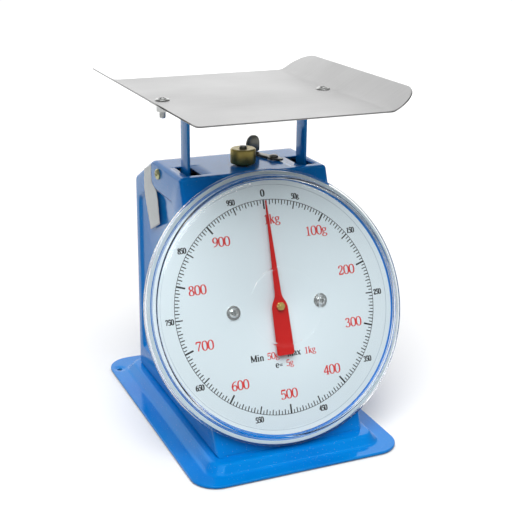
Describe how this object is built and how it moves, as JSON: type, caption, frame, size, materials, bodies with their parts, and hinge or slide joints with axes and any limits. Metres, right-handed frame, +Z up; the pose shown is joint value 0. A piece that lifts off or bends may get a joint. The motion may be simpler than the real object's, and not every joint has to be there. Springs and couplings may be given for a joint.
{
  "type": "dial platform scale",
  "caption": "Spring platform scale: stamped base, leaning round dial under a clear lens, red pointer and a flanged weighing tray on two uprights.",
  "frame": {"origin": "on the ground under the middle of the base", "axes": "+Z up, -Y the way the dial faces, +X to the right seen from the front"},
  "size_m": [0.2056, 0.239, 0.2702],
  "materials": {
    "blue_paint": "high-gloss blue enamel",
    "tray_steel": "satin stainless sheet",
    "zinc_steel": "bright zinc plate",
    "spring_steel": "drawn spring wire",
    "dial_white": "white enamel with printed graduations",
    "clear_lens": "clear moulded plastic",
    "pointer_red": "semi-gloss red",
    "brass": "turned brass",
    "rubber": "matt",
    "tape": "translucent tape"
  },
  "bodies": {
    "stand": {"base_plate": "blue_paint", "rubber_feet": "rubber", "shell_screws": "zinc_steel", "housing_shell": "blue_paint", "rear_panel": "blue_paint", "rear_panel_screws": "zinc_steel", "top_bridge": "zinc_steel", "side_screws": "zinc_steel", "tape_strip": "tape", "dial_pan": "blue_paint", "dial_plate": "dial_white", "dial_spacers": "zinc_steel", "dial_washers": "zinc_steel", "dial_screws": "zinc_steel", "lens": "clear_lens", "movement_front_plate": "zinc_steel", "movement_rear_plate": "zinc_steel", "movement_pillars": "brass", "front_bush": "brass", "rear_bush": "brass", "bracket_left": "zinc_steel", "bracket_right": "zinc_steel", "bracket_screws": "zinc_steel", "guide_rods": "zinc_steel", "rod_clips": "zinc_steel", "catch_washer": "zinc_steel"},
    "platform": {"tray": "tray_steel", "tray_screws": "zinc_steel", "tray_nuts": "zinc_steel", "tray_washers": "zinc_steel", "tray_support": "zinc_steel", "upright_left": "blue_paint", "upright_right": "blue_paint", "upper_crossbar": "zinc_steel", "lower_crossbar": "zinc_steel", "spring_anchor": "zinc_steel", "carriage_rivets": "zinc_steel", "rack": "zinc_steel", "rack_bracket": "zinc_steel", "rack_screws": "zinc_steel", "catch_lug": "zinc_steel", "spring_left": "spring_steel", "spring_right": "spring_steel"},
    "needle": {"pointer": "pointer_red", "hub_nut": "brass", "pointer_shaft": "zinc_steel", "pinion": "brass"},
    "upper_guide": {"upper_lever": "zinc_steel", "upper_lever_pins": "zinc_steel"},
    "lower_guide": {"lower_lever": "zinc_steel", "lower_lever_pins": "zinc_steel"},
    "zero_knob": {"zero_nut": "brass"},
    "hanger": {"hanger_bolt": "zinc_steel", "spring_yoke": "zinc_steel"},
    "catch": {"catch_lever": "zinc_steel", "catch_shaft": "zinc_steel", "catch_dog": "zinc_steel"}
  },
  "joints": [
    {"name": "platform_slide", "type": "slide", "parent": "stand", "child": "platform", "axis": [0, 0, -1], "range_m": [0, 0.01615], "stiffness_N_per_m": 607.3, "springref_m": -0.0105, "deforming": ["spring_left", "spring_right"]},
    {"name": "needle_turn", "type": "hinge", "parent": "stand", "child": "needle", "pos_m": [0, -0.0639, 0.1095], "axis": [0, 0.9336, -0.3584], "range_deg": [-1, 362]},
    {"name": "upper_guide_swing", "type": "hinge", "parent": "stand", "child": "upper_guide", "pos_m": [0, 0.06, 0.15], "axis": [1, 0, 0], "range_deg": [-0.5, 16]},
    {"name": "lower_guide_swing", "type": "hinge", "parent": "stand", "child": "lower_guide", "pos_m": [0, 0.06, 0.08], "axis": [1, 0, 0], "range_deg": [-0.5, 16]},
    {"name": "zero_nut_turn", "type": "hinge", "parent": "stand", "child": "zero_knob", "pos_m": [0, 0.003, 0.21], "axis": [0, 0, 1], "range_deg": [-180, 180]},
    {"name": "hanger_lift", "type": "slide", "parent": "stand", "child": "hanger", "axis": [0, 0, 1], "range_m": [-0.0005, 0.0005]},
    {"name": "catch_turn", "type": "hinge", "parent": "stand", "child": "catch", "pos_m": [0.029, 0.01, 0.203], "axis": [0, 0, 1], "range_deg": [-70, 0]}
  ],
  "couplings": [
    {"joint": "needle_turn", "follows": "platform_slide", "rad_per_m": 388.99},
    {"joint": "upper_guide_swing", "follows": "platform_slide", "rad_per_m": 16.717},
    {"joint": "lower_guide_swing", "follows": "platform_slide", "rad_per_m": 16.717},
    {"joint": "zero_nut_turn", "follows": "hanger_lift", "rad_per_m": -6283}
  ]
}
